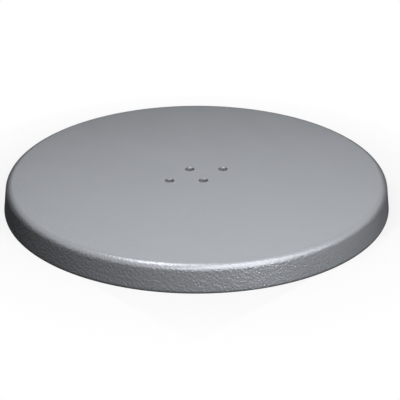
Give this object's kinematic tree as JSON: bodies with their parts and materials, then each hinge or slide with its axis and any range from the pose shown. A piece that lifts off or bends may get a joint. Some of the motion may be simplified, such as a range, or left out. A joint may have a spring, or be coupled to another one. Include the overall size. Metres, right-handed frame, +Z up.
{
  "type": "cast iron base",
  "caption": "Low round cast iron base for a column or table: flat top with small screw holes at its centre, rounded edge, leaning side wall, ribbed and hollow underneath.",
  "frame": {"origin": "centre of the foot ring, on the floor", "axes": "+Z up, out of the top face; X runs through the wider pair of screw holes, and Y through the narrower pair"},
  "size_m": [0.4497, 0.4498, 0.032],
  "materials": {
    "coated_iron": "silver-grey powder coat with a fine structure, satin"
  },
  "bodies": {
    "root": {"base_casting": "coated_iron"}
  },
  "joints": []
}
